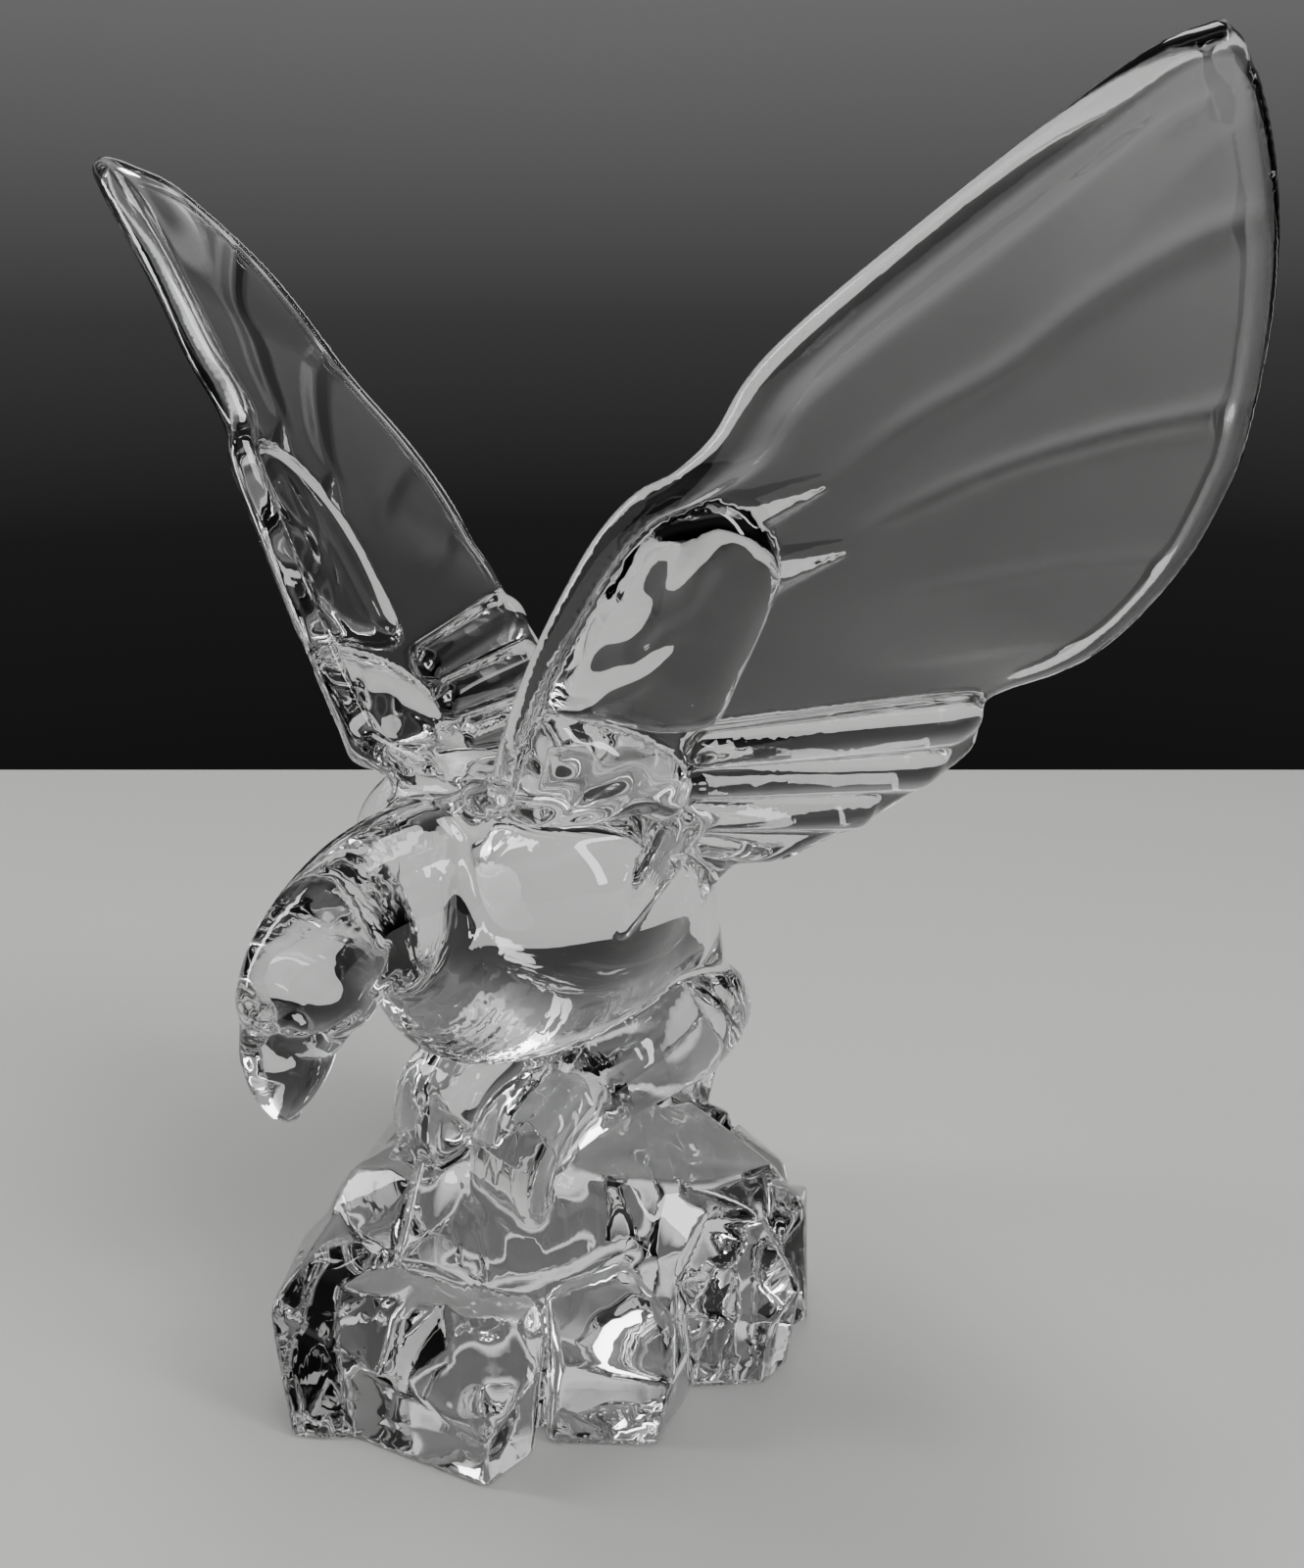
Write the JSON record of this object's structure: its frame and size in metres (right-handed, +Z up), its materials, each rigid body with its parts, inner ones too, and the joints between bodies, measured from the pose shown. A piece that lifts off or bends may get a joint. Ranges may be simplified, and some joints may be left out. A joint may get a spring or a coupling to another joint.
{
  "type": "crystal eagle sculpture",
  "caption": "Cast clear crystal eagle with raised wings and bowed head, perched on a faceted rock with a flat underside.",
  "frame": {"origin": "middle of the rock's flat underside", "axes": "+Z up; the eagle looks along -Y and its left wing is on +X"},
  "size_m": [0.254, 0.1372, 0.2501],
  "materials": {
    "crystal": "polished clear lead crystal"
  },
  "bodies": {
    "root": {"crystal_eagle": "crystal"}
  },
  "joints": []
}
